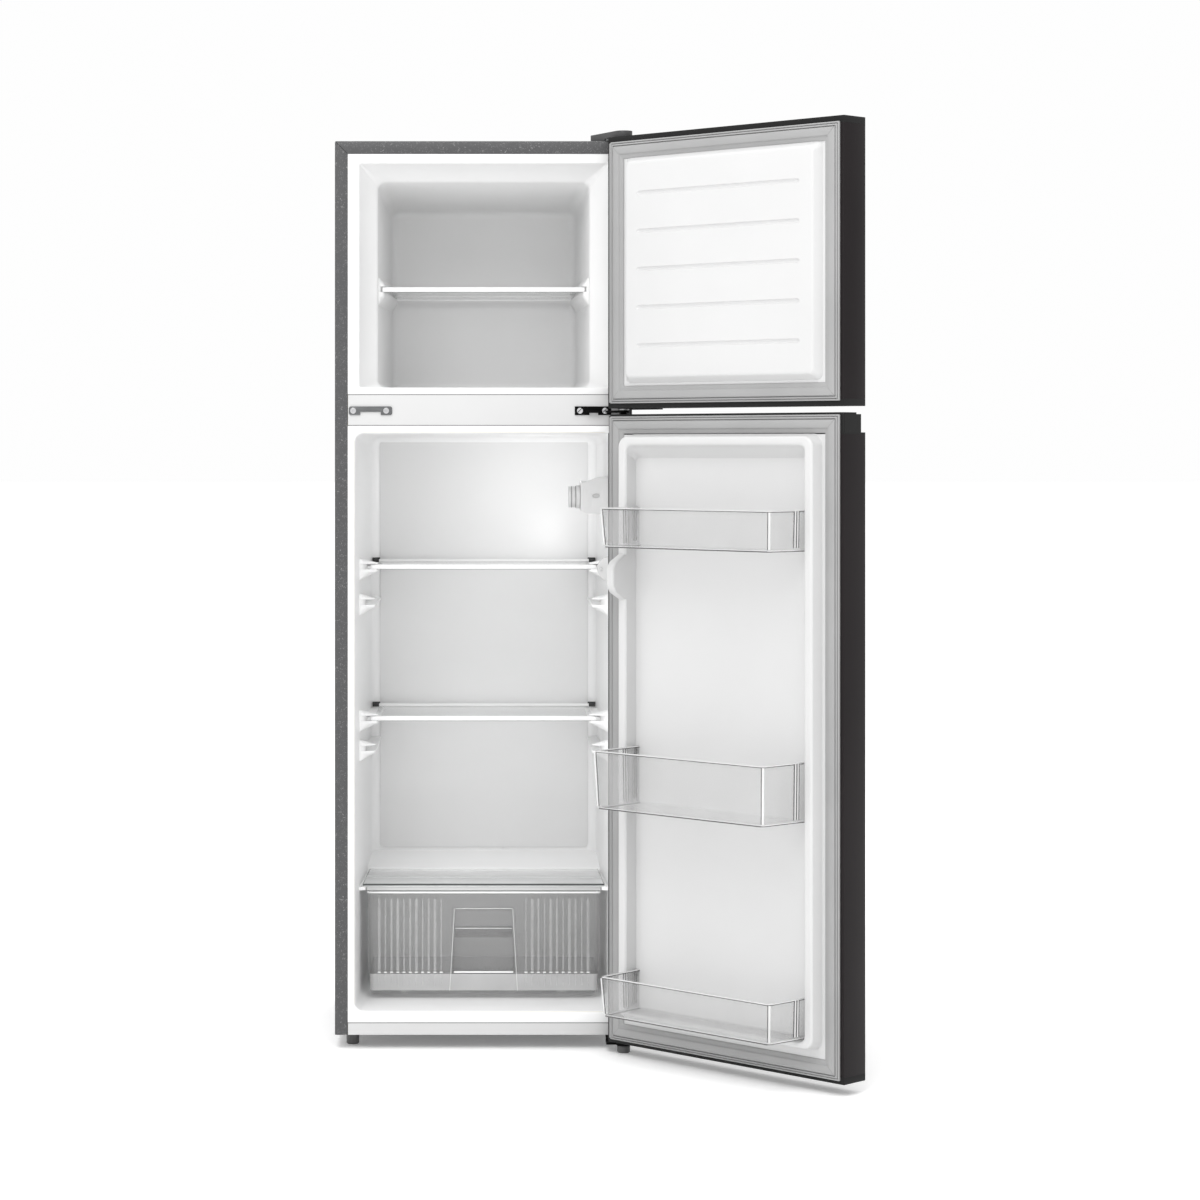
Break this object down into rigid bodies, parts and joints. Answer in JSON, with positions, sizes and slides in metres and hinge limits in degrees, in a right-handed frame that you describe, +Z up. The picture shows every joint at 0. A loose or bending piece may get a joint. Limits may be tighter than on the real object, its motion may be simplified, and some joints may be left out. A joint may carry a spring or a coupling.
{
  "type": "top freezer refrigerator",
  "caption": "Free-standing refrigerator with a freezer compartment above, dark steel doors, glass shelves, clear crisper drawer and clear door racks; both doors stand open.",
  "frame": {"origin": "on the floor, below the middle of the cabinet's front plane", "axes": "+X to the right seen from the front, +Y from the front to the back, +Z up"},
  "size_m": [0.935, 0.9816, 1.695],
  "materials": {
    "shell_paint": "satin",
    "door_paint": "satin",
    "bare_steel": "satin",
    "black_steel": "satin",
    "white_plastic": "satin",
    "black_plastic": "satin",
    "grey_plastic": "satin",
    "rubber": "matte",
    "seal": "satin",
    "insulation": "matte",
    "copper_tube": "satin",
    "aluminium_plate": "satin",
    "shelf_glass": "gloss",
    "clear_plastic": "gloss",
    "lamp_lens": "gloss",
    "lamp_glass": "gloss"
  },
  "bodies": {
    "cabinet": {"outer_shell": "shell_paint", "back_panel": "bare_steel", "base_plate": "bare_steel", "top_hinge": "bare_steel", "hinge_screws": "bare_steel", "blank_hinge_plate": "bare_steel", "roller_axles": "bare_steel", "middle_hinge": "black_steel", "bottom_hinge": "black_steel", "compressor": "black_steel", "freezer_liner": "white_plastic", "fridge_liner": "white_plastic", "mullion_cover": "white_plastic", "bottom_rail": "white_plastic", "thermostat_housing": "white_plastic", "light_switch_housing": "white_plastic", "hinge_washers": "white_plastic", "terminal_cover": "black_plastic", "top_hinge_cover": "grey_plastic", "drip_tray": "grey_plastic", "drain_tube": "grey_plastic", "compressor_grommets": "rubber", "cord_gland": "rubber", "cabinet_foam": "insulation", "refrigerant_pipes": "copper_tube", "condenser_coil": "copper_tube", "evaporator": "aluminium_plate", "lamp_cover": "lamp_lens", "lamp_bulb": "lamp_glass"},
    "freezer_door": {"freezer_door_skin": "door_paint", "freezer_door_top_cap": "black_plastic", "freezer_door_bottom_cap": "black_plastic", "freezer_door_foam": "insulation", "freezer_door_liner": "white_plastic", "freezer_door_gasket": "seal"},
    "fridge_door": {"fridge_door_skin": "door_paint", "fridge_door_top_cap": "black_plastic", "fridge_door_bottom_cap": "black_plastic", "fridge_door_foam": "insulation", "fridge_door_liner": "white_plastic", "fridge_door_gasket": "seal"},
    "upper_door_rack": {"upper_rack": "clear_plastic"},
    "middle_door_rack": {"middle_rack": "clear_plastic"},
    "lower_door_rack": {"lower_rack": "clear_plastic"},
    "drawer": {"crisper_drawer": "clear_plastic"},
    "drawer_cover": {"crisper_cover_glass": "shelf_glass", "crisper_cover_trim": "white_plastic"},
    "upper_shelf": {"upper_shelf_glass": "shelf_glass", "upper_shelf_trims": "white_plastic"},
    "lower_shelf": {"lower_shelf_glass": "shelf_glass", "lower_shelf_trims": "white_plastic"},
    "freezer_shelf": {"freezer_shelf_glass": "shelf_glass", "freezer_shelf_trims": "white_plastic"},
    "thermostat_knob": {"thermostat_dial": "white_plastic"},
    "light_switch_button": {"switch_plunger": "white_plastic"},
    "left_levelling_foot": {"left_foot": "black_plastic"},
    "right_levelling_foot": {"right_foot": "black_plastic"},
    "left_rear_roller": {"left_roller": "black_plastic"},
    "right_rear_roller": {"right_roller": "black_plastic"}
  },
  "joints": [
    {"name": "freezer_door_hinge", "type": "hinge", "parent": "cabinet", "child": "freezer_door", "pos_m": [0.258, -0.0315, 0], "axis": [0, 0, 1], "range_deg": [-135, 0]},
    {"name": "fridge_door_hinge", "type": "hinge", "parent": "cabinet", "child": "fridge_door", "pos_m": [0.258, -0.0315, 0], "axis": [0, 0, 1], "range_deg": [-135, 0]},
    {"name": "drawer_slide", "type": "slide", "parent": "cabinet", "child": "drawer", "axis": [0, -1, 0], "range_m": [0, 0.2]},
    {"name": "drawer_cover_slide", "type": "slide", "parent": "cabinet", "child": "drawer_cover", "axis": [0, -1, 0], "range_m": [0, 0.18]},
    {"name": "upper_shelf_slide", "type": "slide", "parent": "cabinet", "child": "upper_shelf", "axis": [0, -1, 0], "range_m": [0, 0.25]},
    {"name": "lower_shelf_slide", "type": "slide", "parent": "cabinet", "child": "lower_shelf", "axis": [0, -1, 0], "range_m": [0, 0.25]},
    {"name": "freezer_shelf_slide", "type": "slide", "parent": "cabinet", "child": "freezer_shelf", "axis": [0, -1, 0], "range_m": [0, 0.25]},
    {"name": "upper_rack_lift", "type": "slide", "parent": "fridge_door", "child": "upper_door_rack", "axis": [0, 0, 1], "range_m": [0, 0.03]},
    {"name": "middle_rack_lift", "type": "slide", "parent": "fridge_door", "child": "middle_door_rack", "axis": [0, 0, 1], "range_m": [0, 0.03]},
    {"name": "lower_rack_lift", "type": "slide", "parent": "fridge_door", "child": "lower_door_rack", "axis": [0, 0, 1], "range_m": [0, 0.03]},
    {"name": "thermostat_turn", "type": "hinge", "parent": "cabinet", "child": "thermostat_knob", "pos_m": [0.18, 0.135, 1.0195], "axis": [-1, 0, 0], "range_deg": [0, 270]},
    {"name": "light_switch_press", "type": "slide", "parent": "cabinet", "child": "light_switch_button", "axis": [0, 1, 0], "range_m": [0, 0.0045], "stiffness_N_per_m": 150},
    {"name": "left_foot_turn", "type": "hinge", "parent": "cabinet", "child": "left_levelling_foot", "pos_m": [-0.244, 0.054, 0.02], "axis": [0, 0, 1], "continuous": true},
    {"name": "right_foot_turn", "type": "hinge", "parent": "cabinet", "child": "right_levelling_foot", "pos_m": [0.258, -0.0315, 0.01], "axis": [0, 0, 1], "continuous": true},
    {"name": "left_roller_spin", "type": "hinge", "parent": "cabinet", "child": "left_rear_roller", "pos_m": [-0.24, 0.5, 0.012], "axis": [1, 0, 0], "continuous": true},
    {"name": "right_roller_spin", "type": "hinge", "parent": "cabinet", "child": "right_rear_roller", "pos_m": [0.24, 0.5, 0.012], "axis": [1, 0, 0], "continuous": true}
  ]
}
